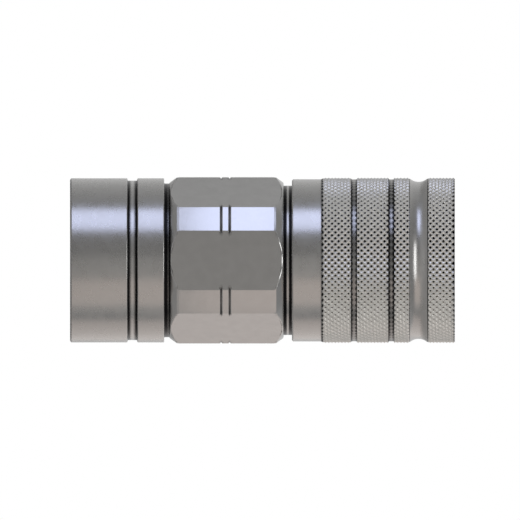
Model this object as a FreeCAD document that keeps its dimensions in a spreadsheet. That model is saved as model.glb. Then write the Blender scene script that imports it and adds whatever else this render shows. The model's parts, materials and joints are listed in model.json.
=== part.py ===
import FreeCAD, Part
import math
import os
import re

import Sketcher

# Female half of a flat-face hydraulic quick coupler, in millimetres.
# The axis is Z.  The port face is at height 0 and the flat coupling face is at the top.
# Lengths ending in _low, _high or _height are heights above the port face.
SIZES = {
    # rear adapter, outside
    "port_radius": 18.8,
    "port_edge": 0.3,
    "ring_groove_low": 13.1,
    "ring_groove_high": 15.45,
    "ring_groove_radius": 18.26,
    "ring_groove_slope": 0.12,
    "band_high": 21.55,
    "relief_radius": 17.6,
    "hex_low": 22.75,
    "hex_high": 48.9,
    "hex_flats": 36.0,
    "hex_corner_radius": 19.25,
    "hex_chamfer": 1.75,
    "hex_chamfer_radius": 17.75,
    "hex_cutter_radius": 24.0,
    "mark_height": 34.6,
    "mark_pitch": 1.95,
    "mark_depth": 0.4,
    "mark_width": 0.55,
    # rear adapter, inside
    "thread_radius": 9.32,
    "thread_depth": 16.0,
    "thread_mouth": 1.2,
    "flow_radius": 8.8,
    "spider_low": 24.0,
    "spider_high": 27.0,
    "spider_radius": 12.5,
    "flange_low": 34.0,
    "flange_high": 37.0,
    "joint_radius": 15.0,
    "close_fit": 0.03,
    "sliding_fit": 0.05,
    "edge": 0.3,
    # main body
    "undercut_low": 47.0,
    "undercut_radius": 14.3,
    "collar_radius": 17.1,
    "collar_high": 57.5,
    "tube_radius": 15.4,
    "snap_groove_low": 85.0,
    "snap_groove_width": 1.2,
    "snap_groove_radius": 14.7,
    "face_height": 87.5,
    "nose_radius": 12.3,
    "nose_groove_low": 75.8,
    "nose_groove_high": 79.2,
    "nose_groove_radius": 13.9,
    "ring_stop_height": 74.5,
    "chamber_radius": 13.2,
    # locking balls and their holes
    "ball_radius": 2.0,
    "ball_count": 8,
    "ball_height": 82.4,
    "ball_centre": 14.3,
    "ball_travel": 1.0,
    "ball_hole_radius": 2.06,
    "ball_lip_radius": 1.88,
    "ball_lip_height": 12.5,
    "ball_hole_depth": 6.0,
    # locking sleeve
    "sleeve_low": 50.8,
    "sleeve_high": 88.1,
    "sleeve_travel": 5.0,
    "skirt_fit": 0.08,
    "grip_radius": 18.92,
    "sleeve_band_radius": 18.58,
    "knurl_low": 57.95,
    "knurl_ramp": 0.5,
    "grip_groove_radius": 18.55,
    "grip_groove_slope": 0.12,
    "first_groove_low": 64.35,
    "first_groove_high": 65.6,
    "second_groove_low": 72.9,
    "second_groove_high": 74.25,
    "finger_groove_low": 77.6,
    "finger_groove_high": 82.0,
    "finger_groove_arc": 3.05,
    "land_fit": 0.07,
    "ramp_clearance": 0.12,
    "ramp_lead": 0.2,
    "shoulder_height": 69.0,
    "washer_thickness": 0.98,
    "washer_gap": 0.02,
    "snap_ring_radius": 15.85,
    "snap_ring_gap": 3.0,
    # dust ring
    "dust_ring_travel": 10.0,
    "dust_ring_bore": 9.8,
    "dust_ring_flange": 13.1,
    "dust_ring_low": 72.2,
    "dust_ring_step": 74.4,
    "dust_ring_taper_margin": 0.01,
    "chamber_low": 56.0,
    # valve sleeve, guide and stem
    "valve_radius": 9.7,
    "valve_low": 46.0,
    "valve_bore": 8.0,
    "valve_lip": 6.1,
    "valve_lip_low": 79.5,
    "valve_lip_high": 81.6,
    "valve_seat_high": 82.9,
    "valve_throat_low": 76.5,
    "head_radius": 7.0,
    "head_cone_low": 78.8,
    "shaft_radius": 4.0,
    "stud_radius": 3.0,
    "stud_low": 18.0,
    "nut_low": 19.0,
    "nut_flats": 10.0,
    "spider_hole_radius": 1.6,
    "spider_hole_centre": 7.0,
    "spider_hole_count": 8,
    # seals
    "seal_squeeze_fit": 0.01,
    "seal_side": 0.6,
    "seal_length": 1.9,
    "seal_play": 0.15,
    "backup_length": 1.15,
    "guide_groove_low": 29.0,
    "guide_groove_high": 32.4,
    "guide_groove_radius": 11.0,
    "valve_groove_low": 49.6,
    "valve_groove_high": 53.0,
    "valve_groove_radius": 11.35,
    "stem_groove_low": 83.7,
    "stem_groove_high": 85.7,
    "stem_groove_radius": 5.6,
    # springs
    "sleeve_spring_wire": 1.5,
    "sleeve_spring_radius": 16.3,
    "sleeve_spring_turns": 4.0,
    "dust_spring_wire": 1.2,
    "dust_spring_radius": 11.45,
    "dust_spring_turns": 4.5,
    "valve_spring_wire": 1.4,
    "valve_spring_radius": 8.9,
    "valve_spring_turns": 5.5,
}

CONVEX = 1
CONCAVE = -1
TINY = 1e-9
SKETCH_ORIGIN = (-1, 1)
SKETCH_AXES = {"DistanceX": -2, "DistanceY": -1}

doc = FreeCAD.newDocument("quick_coupler")


def write_sheet():
    """Put the driving dimensions in a sheet, one named cell for each."""
    sizes = doc.addObject("Spreadsheet::Sheet", "Sizes")
    for row, (alias, size) in enumerate(SIZES.items(), start=1):
        sizes.set(f"A{row}", alias.replace("_", " "))
        sizes.set(f"B{row}", str(size))
        sizes.setAlias(f"B{row}", alias)
    doc.recompute()
    return sizes


sheet = write_sheet()


def bound(expression):
    """Put the sheet's name before each alias of an expression."""
    return re.sub(r"[a-z]\w*", lambda word: f"Sizes.{word[0]}" if word[0] in SIZES else word[0], expression)


def number(expression):
    """Work out an expression from the sheet's cells."""
    return float(sheet.evalExpression(bound(expression)))


def bind(thing, path, expression):
    """Tie a property to the sheet."""
    thing.setExpression(path, bound(expression))


def origin_feature(body, role):
    """Find a plane or an axis of a body's origin."""
    return next(feature for feature in body.Origin.OriginFeatures if feature.Role == role)


def new_body(label):
    body = doc.addObject("PartDesign::Body", label)
    body.Label = label
    return body


def new_sketch(body, name, role, offset="0"):
    """Make a sketch on one of the body's origin planes, moved along the plane's normal."""
    sketch = body.newObject("Sketcher::SketchObject", f"{body.Label}_{name}")
    sketch.AttachmentSupport = [(origin_feature(body, role), "")]
    sketch.MapMode = "FlatFace"
    bind(sketch, "AttachmentOffset.Base.z", offset)
    return sketch


def pin_point(sketch, geometry, position, direction, expression):
    """Hold one coordinate of a point at a size from the sheet."""
    if abs(number(expression)) < TINY:
        sketch.addConstraint(Sketcher.Constraint("PointOnObject", geometry, position, SKETCH_AXES[direction]))
        return
    constraint = Sketcher.Constraint(direction, *SKETCH_ORIGIN, geometry, position, number(expression))
    index = sketch.addConstraint(constraint)
    bind(sketch, f"Constraints[{index}]", expression)


def arc_between(start, end, radius, turn):
    """Make the shorter arc between two points, turning left (1) or right (-1) on the way."""
    chord = end - start
    left = FreeCAD.Vector(-chord.y, chord.x, 0).normalize()
    rise = math.sqrt(radius ** 2 - (chord.Length / 2) ** 2)
    centre = (start + end) * 0.5 + left * rise * turn
    first, last = (start, end) if turn > 0 else (end, start)
    angles = [math.atan2(point.y - centre.y, point.x - centre.x) for point in (first, last)]
    return Part.ArcOfCircle(Part.Circle(centre, FreeCAD.Vector(0, 0, 1), radius), *angles)


def draw_outline(sketch, outline):
    """Draw a closed outline, counter-clockwise, with every point tied to the sheet.

    Each entry is a point (across, up).  An entry (across, up, radius, turn) is reached by an arc.
    """
    points = [FreeCAD.Vector(number(entry[0]), number(entry[1]), 0) for entry in outline]
    ends = []
    for index, entry in enumerate(outline):
        before = points[index - 1]
        if len(entry) == 2:
            line = sketch.addGeometry(Part.LineSegment(before, points[index]), False)
            ends.append((line, 1, 2))
            continue
        radius, turn = entry[2:]
        arc = sketch.addGeometry(arc_between(before, points[index], number(radius), turn), False)
        ends.append((arc, 1, 2) if turn > 0 else (arc, 2, 1))
    for index, entry in enumerate(outline):
        geometry, first, last = ends[index]
        following, its_first, its_last = ends[(index + 1) % len(ends)]
        sketch.addConstraint(Sketcher.Constraint("Coincident", geometry, last, following, its_first))
        pin_point(sketch, geometry, last, "DistanceX", entry[0])
        pin_point(sketch, geometry, last, "DistanceY", entry[1])
    for (geometry, first, last), entry in zip(ends, outline):
        if len(entry) > 2:
            index = sketch.addConstraint(Sketcher.Constraint("Radius", geometry, number(entry[2])))
            bind(sketch, f"Constraints[{index}]", entry[2])


def draw_circle(sketch, across, up, radius):
    """Draw a circle whose centre and radius are tied to the sheet."""
    centre = FreeCAD.Vector(number(across), number(up), 0)
    circle = sketch.addGeometry(Part.Circle(centre, FreeCAD.Vector(0, 0, 1), number(radius)), False)
    pin_point(sketch, circle, 3, "DistanceX", across)
    pin_point(sketch, circle, 3, "DistanceY", up)
    index = sketch.addConstraint(Sketcher.Constraint("Radius", circle, number(radius)))
    bind(sketch, f"Constraints[{index}]", radius)


def turned_body(label, outline):
    """Turn an outline of (radius, height) points about the axis."""
    body = new_body(label)
    sketch = new_sketch(body, "profile", "XZ_Plane")
    draw_outline(sketch, outline)
    turned = body.newObject("PartDesign::Revolution", f"{label}_turned")
    turned.Profile = sketch
    turned.ReferenceAxis = (sketch, ["V_Axis"])
    turned.Angle = 360
    doc.recompute()
    return body


def cut(body, sketch, name, length, along_normal):
    """Cut a sketch's area out of a body and make sure that material went."""
    before = body.Shape.Volume
    pocket = body.newObject("PartDesign::Pocket", f"{body.Label}_{name}")
    pocket.Profile = sketch
    pocket.Reversed = along_normal
    bind(pocket, "Length", length)
    doc.recompute()
    if body.Shape.Volume > before - TINY:
        raise RuntimeError(f"{pocket.Label} cuts nothing")
    return pocket


def repeat_round(body, features, name, count):
    """Repeat cuts evenly round the axis."""
    pattern = body.newObject("PartDesign::PolarPattern", f"{body.Label}_{name}")
    pattern.Originals = features
    pattern.Axis = (origin_feature(body, "Z_Axis"), [""])
    pattern.Angle = 360
    bind(pattern, "Occurrences", count)
    body.Tip = pattern
    doc.recompute()


def hexagon(flats):
    """List the corners of a hexagon with two corners on the X axis."""
    return [(f"({flats}) / sqrt(3) * cos({angle} deg)", f"({flats}) / sqrt(3) * sin({angle} deg)")
            for angle in range(0, 360, 60)]


def mark_groove(height):
    """List the points of a V groove turned into the hexagon's corners."""
    return [("hex_corner_radius", f"{height} - mark_width / 2"),
            ("hex_corner_radius - mark_depth", height),
            ("hex_corner_radius", f"{height} + mark_width / 2")]


def rear_adapter():
    """Port cylinder, ring groove, band and hexagon, with the port thread's core hole."""
    body = turned_body("rear_adapter", [
        ("thread_radius + thread_mouth", "0"),
        ("port_radius - port_edge", "0"),
        ("port_radius", "port_edge"),
        ("port_radius", "ring_groove_low"),
        ("ring_groove_radius", "ring_groove_low + ring_groove_slope"),
        ("ring_groove_radius", "ring_groove_high - ring_groove_slope"),
        ("port_radius", "ring_groove_high"),
        ("port_radius", "band_high"),
        ("relief_radius", "band_high"),
        ("relief_radius", "hex_low"),
        ("hex_chamfer_radius", "hex_low"),
        ("hex_corner_radius", "hex_low + hex_chamfer"),
        *mark_groove("mark_height"),
        *mark_groove("mark_height + mark_pitch"),
        ("hex_corner_radius", "hex_high - hex_chamfer"),
        ("hex_chamfer_radius", "hex_high"),
        ("joint_radius + close_fit + edge", "hex_high"),
        ("joint_radius + close_fit", "hex_high - edge"),
        ("joint_radius + close_fit", "flange_low"),
        ("spider_radius + sliding_fit", "flange_low"),
        ("spider_radius + sliding_fit", "spider_low"),
        ("flow_radius", "spider_low"),
        ("flow_radius", "thread_depth + thread_radius - flow_radius"),
        ("thread_radius", "thread_depth"),
        ("thread_radius", "thread_mouth"),
    ])
    flats = new_sketch(body, "flats", "XY_Plane", "hex_low")
    draw_circle(flats, "0", "0", "hex_cutter_radius")
    draw_outline(flats, hexagon("hex_flats"))
    cut(body, flats, "flats_cut", "hex_high - hex_low", along_normal=True)
    return body


def main_body():
    """Tube with the collar, the ball holes, the snap ring's groove and the nose seal's groove."""
    body = turned_body("main_body", [
        ("chamber_radius", "flange_high"),
        ("joint_radius - edge", "flange_high"),
        ("joint_radius", "flange_high + edge"),
        ("joint_radius", "undercut_low"),
        ("undercut_radius", "undercut_low + joint_radius - undercut_radius"),
        ("undercut_radius", "hex_high"),
        ("collar_radius", "hex_high"),
        ("collar_radius", "collar_high - edge"),
        ("collar_radius - edge", "collar_high"),
        ("tube_radius", "collar_high"),
        ("tube_radius", "snap_groove_low"),
        ("snap_groove_radius", "snap_groove_low"),
        ("snap_groove_radius", "snap_groove_low + snap_groove_width"),
        ("tube_radius", "snap_groove_low + snap_groove_width"),
        ("tube_radius", "face_height - edge"),
        ("tube_radius - edge", "face_height"),
        ("nose_radius + edge", "face_height"),
        ("nose_radius", "face_height - edge"),
        ("nose_radius", "nose_groove_high"),
        ("nose_groove_radius", "nose_groove_high"),
        ("nose_groove_radius", "nose_groove_low"),
        ("nose_radius", "nose_groove_low"),
        ("nose_radius", "ring_stop_height"),
        ("chamber_radius", "ring_stop_height"),
    ])
    seat = new_sketch(body, "ball_seat", "YZ_Plane", "ball_lip_height")
    draw_circle(seat, "0", "ball_height", "ball_hole_radius")
    seat_cut = cut(body, seat, "ball_seat_cut", "ball_hole_depth", along_normal=True)
    lip = new_sketch(body, "ball_lip", "YZ_Plane", "ball_lip_height")
    draw_circle(lip, "0", "ball_height", "ball_lip_radius")
    lip_cut = cut(body, lip, "ball_lip_cut", "ball_radius", along_normal=False)
    repeat_round(body, [seat_cut, lip_cut], "ball_holes", "ball_count")
    return body


def grip_groove(low, high):
    """List the points of a narrow groove between two knurled bands."""
    return [("grip_radius", low),
            ("grip_groove_radius", f"{low} + grip_groove_slope"),
            ("grip_groove_radius", f"{high} - grip_groove_slope"),
            ("grip_radius", high)]


def locking_sleeve():
    """Outer sleeve: grip bands and grooves outside, spring skirt, land and ball ramp inside."""
    skirt = "collar_radius + skirt_fit"
    land = "tube_radius + land_fit"
    ramp_slope = "ball_travel / sleeve_travel"
    ramp_at_ball = "ball_centre + ball_radius + ramp_clearance"
    recess = f"{ramp_at_ball} + ramp_lead * {ramp_slope}"
    ramp_low = f"ball_height - ({ramp_at_ball} - ({land})) / ({ramp_slope})"
    return turned_body("locking_sleeve", [
        (skirt, "sleeve_low"),
        ("sleeve_band_radius - edge", "sleeve_low"),
        ("sleeve_band_radius", "sleeve_low + edge"),
        ("sleeve_band_radius", "knurl_low - knurl_ramp"),
        ("grip_radius", "knurl_low"),
        *grip_groove("first_groove_low", "first_groove_high"),
        *grip_groove("second_groove_low", "second_groove_high"),
        ("grip_radius", "finger_groove_low"),
        ("grip_radius", "finger_groove_high", "finger_groove_arc", CONCAVE),
        ("grip_radius", "sleeve_high - edge"),
        ("grip_radius - edge", "sleeve_high"),
        (f"{recess} + edge", "sleeve_high"),
        (recess, "sleeve_high - edge"),
        (recess, "ball_height + ramp_lead"),
        (land, ramp_low),
        (land, "shoulder_height"),
        (skirt, "shoulder_height"),
    ])


def dust_ring():
    """Ring under the balls; its front tapers so that it lets the balls in as it slides back."""
    outside = "nose_radius - sliding_fit"
    taper = "(ball_travel / dust_ring_travel + dust_ring_taper_margin)"
    front = f"{outside} - {taper} * (face_height - ball_height)"
    return turned_body("dust_ring", [
        ("dust_ring_bore", "dust_ring_low"),
        ("dust_ring_flange", "dust_ring_low"),
        ("dust_ring_flange", "dust_ring_step"),
        (outside, "dust_ring_step"),
        (outside, "ball_height"),
        (front, "face_height"),
        ("dust_ring_bore", "face_height"),
    ])


def valve_guide():
    """Bush clamped between adapter and body, with a groove for a seal inside and outside."""
    bore = "valve_radius + sliding_fit"
    return turned_body("valve_guide", [
        (bore, "spider_high"),
        ("spider_radius - edge", "spider_high"),
        ("spider_radius", "spider_high + edge"),
        ("spider_radius", "guide_groove_low"),
        ("guide_groove_radius", "guide_groove_low"),
        ("guide_groove_radius", "guide_groove_high"),
        ("spider_radius", "guide_groove_high"),
        ("spider_radius", "flange_low"),
        ("joint_radius - edge", "flange_low"),
        ("joint_radius - edge", "flange_high"),
        ("chamber_radius - sliding_fit", "flange_high"),
        ("chamber_radius - sliding_fit", "chamber_low"),
        (bore, "chamber_low"),
        (bore, "valve_groove_high"),
        ("valve_groove_radius", "valve_groove_high"),
        ("valve_groove_radius", "valve_groove_low"),
        (bore, "valve_groove_low"),
    ])


def valve_sleeve():
    """Sliding valve: its front bore closes on the stem's head and its lip stops on the head's cone."""
    front_bore = "head_radius + sliding_fit"
    return turned_body("valve_sleeve", [
        ("valve_bore", "valve_low"),
        ("valve_radius - edge", "valve_low"),
        ("valve_radius", "valve_low + edge"),
        ("valve_radius", "face_height - edge"),
        ("valve_radius - edge", "face_height"),
        (front_bore, "face_height"),
        (front_bore, "valve_seat_high"),
        ("valve_lip", "valve_lip_high"),
        ("valve_lip", "valve_lip_low"),
        ("valve_bore", "valve_throat_low"),
    ])


def valve_stem():
    """Fixed centre: stud, shaft and mushroom head with the flat face."""
    return turned_body("valve_stem", [
        ("0", "stud_low"),
        ("stud_radius - edge", "stud_low"),
        ("stud_radius", "stud_low + edge"),
        ("stud_radius", "spider_high"),
        ("shaft_radius", "spider_high"),
        ("shaft_radius", "head_cone_low"),
        ("head_radius", "valve_seat_high"),
        ("head_radius", "stem_groove_low"),
        ("stem_groove_radius", "stem_groove_low"),
        ("stem_groove_radius", "stem_groove_high"),
        ("head_radius", "stem_groove_high"),
        ("head_radius", "face_height - edge"),
        ("head_radius - edge", "face_height"),
        ("0", "face_height"),
    ])


def stem_spider():
    """Perforated disc that carries the stem and lets the oil past."""
    body = turned_body("stem_spider", [
        ("stud_radius + sliding_fit", "spider_low"),
        ("spider_radius", "spider_low"),
        ("spider_radius", "spider_high"),
        ("stud_radius + sliding_fit", "spider_high"),
    ])
    hole = new_sketch(body, "hole", "XY_Plane", "spider_low")
    draw_circle(hole, "spider_hole_centre", "0", "spider_hole_radius")
    hole_cut = cut(body, hole, "hole_cut", "spider_high - spider_low", along_normal=True)
    repeat_round(body, [hole_cut], "holes", "spider_hole_count")
    return body


def stem_nut():
    """Hexagon nut behind the spider, with its corners turned off at the outer end."""
    corner = "nut_flats / sqrt(3)"
    body = turned_body("stem_nut", [
        ("stud_radius + close_fit", "nut_low"),
        ("nut_flats / 2", "nut_low"),
        (corner, f"nut_low + ({corner} - nut_flats / 2) / 2"),
        (corner, "spider_low"),
        ("stud_radius + close_fit", "spider_low"),
    ])
    flats = new_sketch(body, "flats", "XY_Plane", "nut_low")
    draw_circle(flats, "0", "0", "nut_flats")
    draw_outline(flats, hexagon("nut_flats"))
    cut(body, flats, "flats_cut", "spider_low - nut_low", along_normal=True)
    return body


def thrust_washer():
    """Flat washer between the sleeve's spring and its shoulder."""
    low = "shoulder_height - washer_gap - washer_thickness"
    high = "shoulder_height - washer_gap"
    return turned_body("sleeve_thrust_washer", [
        ("tube_radius + sliding_fit", low),
        ("collar_radius", low),
        ("collar_radius", high),
        ("tube_radius + sliding_fit", high),
    ])


def retaining_ring():
    """Open snap ring that keeps the sleeve on the body."""
    low = "snap_groove_low + close_fit"
    high = "snap_groove_low + snap_groove_width - close_fit"
    body = turned_body("sleeve_retaining_ring", [
        ("snap_groove_radius + close_fit", low),
        ("snap_ring_radius", low),
        ("snap_ring_radius", high),
        ("snap_groove_radius + close_fit", high),
    ])
    gap = new_sketch(body, "gap", "XY_Plane", "snap_groove_low")
    draw_outline(gap, [
        ("-snap_ring_gap / 2", "snap_groove_radius - snap_ring_gap"),
        ("snap_ring_gap / 2", "snap_groove_radius - snap_ring_gap"),
        ("snap_ring_gap / 2", "tube_radius + snap_ring_gap"),
        ("-snap_ring_gap / 2", "tube_radius + snap_ring_gap"),
    ])
    cut(body, gap, "gap_cut", "snap_groove_width", along_normal=True)
    return body


def squeezed_seal(label, inner, outer, low):
    """Round seal as it sits in its groove: flat on the two faces that it seals, bulged at its sides."""
    thickness = f"(({outer}) - ({inner}))"
    side = f"seal_side * {thickness}"
    bulge = f"{thickness} * (seal_side - sqrt(seal_side ^ 2 - 0.25))"
    bottom = f"{low} + {bulge}"
    top = f"{low} + seal_length - {bulge}"
    return turned_body(label, [
        (inner, bottom),
        (outer, bottom, side, CONVEX),
        (outer, top),
        (inner, top, side, CONVEX),
    ])


def backup_ring(label, inner, outer, high):
    """Flat ring that keeps a seal from being pressed out of its groove."""
    low = f"{high} - backup_length"
    return turned_body(label, [(inner, low), (outer, low), (outer, high), (inner, high)])


def seals():
    """Every seal with its backup ring, each in its groove."""
    nose_inner = "nose_radius - sliding_fit + seal_squeeze_fit"
    valve_inner = "valve_radius + seal_squeeze_fit"
    guide_outer = "spider_radius + sliding_fit - seal_squeeze_fit"
    nose_outer = "nose_groove_radius - seal_squeeze_fit"
    valve_outer = "valve_groove_radius - seal_squeeze_fit"
    guide_inner = "guide_groove_radius + seal_squeeze_fit"
    return [
        squeezed_seal("nose_seal", nose_inner, nose_outer, "nose_groove_low + seal_play"),
        backup_ring("nose_backup_ring", nose_inner, nose_outer, "nose_groove_high - close_fit"),
        squeezed_seal("valve_o_ring", valve_inner, valve_outer, "valve_groove_low + seal_play"),
        backup_ring("valve_backup_ring", valve_inner, valve_outer, "valve_groove_high - close_fit"),
        squeezed_seal("guide_o_ring", guide_inner, guide_outer, "guide_groove_low + seal_play"),
        backup_ring("guide_backup_ring", guide_inner, guide_outer, "guide_groove_high - close_fit"),
        squeezed_seal("stem_seal", "stem_groove_radius + seal_squeeze_fit",
                      "head_radius + sliding_fit - seal_squeeze_fit", "stem_groove_low + close_fit"),
    ]


def coil_spring(label, name, low, high):
    """Round-wire helix between two flat seats."""
    height = f"({high}) - ({low}) - {name}_wire - 2 * close_fit"
    first_turn = f"({low}) + {name}_wire / 2 + close_fit"
    helix = doc.addObject("Part::Helix", f"{label}_helix")
    bind(helix, "Radius", f"{name}_radius")
    bind(helix, "Height", height)
    bind(helix, "Pitch", f"({height}) / {name}_turns")
    bind(helix, "Placement.Base.z", first_turn)
    wire = doc.addObject("Part::Circle", f"{label}_wire")
    bind(wire, "Radius", f"{name}_wire / 2")
    wire.Placement.Rotation = FreeCAD.Rotation(FreeCAD.Vector(1, 0, 0), 90)
    bind(wire, "Placement.Base.x", f"{name}_radius")
    bind(wire, "Placement.Base.z", first_turn)
    spring = doc.addObject("Part::Sweep", label)
    spring.Label = label
    spring.Sections = [wire]
    spring.Spine = (helix, [])
    spring.Solid = True
    spring.Frenet = True
    return spring


def springs():
    """The sleeve's, the dust ring's and the valve's spring."""
    washer_low = "shoulder_height - washer_gap - washer_thickness"
    return [
        coil_spring("sleeve_spring", "sleeve_spring", "collar_high", washer_low),
        coil_spring("dust_ring_spring", "dust_spring", "chamber_low", "dust_ring_low"),
        coil_spring("valve_spring", "valve_spring", "spider_high", "valve_low"),
    ]


def locking_balls():
    """Balls evenly round the axis, held out by the dust ring."""
    balls = []
    count = SIZES["ball_count"]
    for index in range(count):
        label = f"locking_ball_{index + 1}"
        ball = doc.addObject("Part::Sphere", label)
        ball.Label = label
        bind(ball, "Radius", "ball_radius")
        bind(ball, "Placement.Base.x", f"ball_centre * cos({index} * 360 deg / ball_count)")
        bind(ball, "Placement.Base.y", f"ball_centre * sin({index} * 360 deg / ball_count)")
        bind(ball, "Placement.Base.z", "ball_height")
        balls.append(ball)
    return balls


def check(pieces):
    """Stop if any object failed or any piece is not one sound solid."""
    for thing in doc.Objects:
        if "Invalid" in thing.State or "Error" in thing.State:
            raise RuntimeError(f"{thing.Label} failed: {thing.State}")
    for piece in pieces:
        shape = piece.Shape
        if shape.isNull() or not shape.isValid() or len(shape.Solids) != 1:
            raise RuntimeError(f"{piece.Label} is not one sound solid")


def export(pieces):
    """Write each piece to a file of its own name."""
    os.makedirs("parts", exist_ok=True)
    for piece in pieces:
        piece.Shape.exportStep(f"parts/{piece.Label}.step")


def main():
    pieces = [rear_adapter(), main_body(), locking_sleeve(), thrust_washer(), retaining_ring(), dust_ring(),
              valve_guide(), valve_sleeve(), valve_stem(), stem_spider(), stem_nut()]
    pieces += seals() + springs() + locking_balls()
    doc.recompute()
    check(pieces)
    export(pieces)
    print(f"{len(pieces)} pieces written")


main()
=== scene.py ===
"""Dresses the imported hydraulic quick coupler: knurl, port thread, springs, finishes and studio.

The coupler stands on its port face, with the coupling face up. The camera looks along +Y and
lies on its side, so that the picture shows the coupler lying down with the port on the left.
"""

import json
import math

import bmesh
import bpy
from bpy.props import FloatProperty, FloatVectorProperty, IntProperty, PointerProperty
from bpy.types import Operator, Panel, PropertyGroup
from mathutils import Matrix, Vector

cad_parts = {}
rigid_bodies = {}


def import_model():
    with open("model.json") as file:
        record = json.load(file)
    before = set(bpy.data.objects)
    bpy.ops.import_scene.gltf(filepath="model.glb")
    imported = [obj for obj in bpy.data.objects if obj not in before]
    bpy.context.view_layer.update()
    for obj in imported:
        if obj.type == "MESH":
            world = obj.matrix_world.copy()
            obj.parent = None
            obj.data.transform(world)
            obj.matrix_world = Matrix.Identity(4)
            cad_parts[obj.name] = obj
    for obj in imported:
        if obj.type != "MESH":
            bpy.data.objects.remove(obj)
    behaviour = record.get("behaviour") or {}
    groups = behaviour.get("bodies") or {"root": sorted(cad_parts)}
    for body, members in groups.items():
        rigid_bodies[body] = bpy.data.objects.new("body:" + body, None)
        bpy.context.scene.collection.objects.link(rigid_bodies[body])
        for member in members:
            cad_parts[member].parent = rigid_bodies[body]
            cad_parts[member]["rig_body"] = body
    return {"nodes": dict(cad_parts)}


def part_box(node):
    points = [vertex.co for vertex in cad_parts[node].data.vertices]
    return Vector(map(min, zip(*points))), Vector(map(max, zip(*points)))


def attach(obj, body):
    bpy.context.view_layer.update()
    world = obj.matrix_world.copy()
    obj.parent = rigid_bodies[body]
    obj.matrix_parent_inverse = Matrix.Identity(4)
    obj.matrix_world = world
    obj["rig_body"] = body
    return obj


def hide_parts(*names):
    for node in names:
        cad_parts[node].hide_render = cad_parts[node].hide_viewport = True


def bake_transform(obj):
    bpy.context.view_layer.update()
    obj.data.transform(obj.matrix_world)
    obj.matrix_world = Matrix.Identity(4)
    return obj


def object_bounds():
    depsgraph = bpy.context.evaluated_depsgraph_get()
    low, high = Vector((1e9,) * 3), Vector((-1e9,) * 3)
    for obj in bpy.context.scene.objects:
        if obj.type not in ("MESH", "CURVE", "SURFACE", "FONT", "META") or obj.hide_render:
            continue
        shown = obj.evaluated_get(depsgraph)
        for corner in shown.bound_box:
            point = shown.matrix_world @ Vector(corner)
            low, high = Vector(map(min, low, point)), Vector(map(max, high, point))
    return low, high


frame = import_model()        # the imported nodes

bl_info = {
    "name": "Hydraulic quick coupler",
    "version": (1, 0, 0),
    "blender": (4, 5, 0),
    "location": "View3D > Sidebar > Coupler",
    "description": "Knurl, port thread, springs, finishes and studio of a hydraulic quick coupler",
    "category": "Object",
}

CAD_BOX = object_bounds()
NODES = frame["nodes"]
BOXES = {name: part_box(name) for name in NODES}
MM = 0.001
FULL_TURN = 2 * math.pi

SHARP_ANGLE = math.radians(18)  # edges that turn more stay sharp
MERGE_DISTANCE = 1e-7  # points that are closer become one
EASE_STEPS = 6  # stretches over an eased corner of an outline
EASE_LIMIT = 0.4  # share of the next stretch that an eased corner may take
EASE_LEAD = 0.1  # distance of the points beside an eased corner, as a share of it
FINE_STEP = 0.15 * MM  # longest stretch at the hexagon's ends and in the thread
HEXAGON_SIDES = 6
SECTOR = FULL_TURN / HEXAGON_SIDES
CORNER_COLUMNS = 10  # points over half a corner of the hexagon
FLAT_COLUMNS = 14  # points over a flat of the hexagon
UPRIGHT_SLOPE = 0.01  # faces that slope less are upright
CHAMFER_SLOPES = (0.3, 0.75)  # faces that slope between these are chamfers
FLAT_TURN = 0.001  # how far a flat may look off its side, as a share of a sector
FINGER_STEPS = 16  # stretches over the finger groove
KNURL_STEPS = 6  # rows and columns over a diamond of the knurl
COIL_STEPS = 48  # stretches in a turn of a spring
WIRE_SIDES = 14  # sides of a spring's wire
SHADE_SAMPLES = 32  # rays that look for close walls, for the painted shade
NOISE_DETAIL = 3.0  # finer layers in the random marks
NOISE_RANGE = (0.3, 0.7)  # most random marks lie between these


def high_of(node):
    """Height of the highest point of a CAD node."""
    return BOXES[node][1].z


def setting(name, description, default, **more):
    """A number that can be changed in the sidebar."""
    return FloatProperty(name=name, description=description, default=default, **more)


def length(name, description, millimetres, lowest=0.0):
    """A length, given in millimetres."""
    limits = dict(min=lowest * MM, precision=5, unit="LENGTH")
    return setting(name, description, millimetres * MM, **limits)


def share(name, description, default):
    """A number from 0 to 1."""
    return setting(name, description, default, min=0.0, max=1.0, subtype="FACTOR")


def angle(name, description, degrees):
    """An angle, given in degrees."""
    return setting(name, description, math.radians(degrees), subtype="ANGLE")


def power(name, description, watts):
    """The power of a light."""
    return setting(name, description, watts, min=0.0, precision=3, unit="POWER")


def several(name, description, default, **more):
    """Several numbers that can be changed in the sidebar."""
    limits = dict(size=len(default), min=0.0, **more)
    return FloatVectorProperty(name=name, description=description, default=default, **limits)


def colour(name, description, default):
    """A colour."""
    return several(name, description, default, max=1.0, subtype="COLOR")


def lamp_size(name, description, wide, tall):
    """Width and height of a light, given in millimetres."""
    return several(name, description, (wide * MM, tall * MM), unit="LENGTH")


def count(name, description, default):
    """A whole number."""
    return IntProperty(name=name, description=description, default=default, min=1)


def group(kind, name, description):
    """A group of settings."""
    return PointerProperty(type=kind, name=name, description=description)


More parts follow.
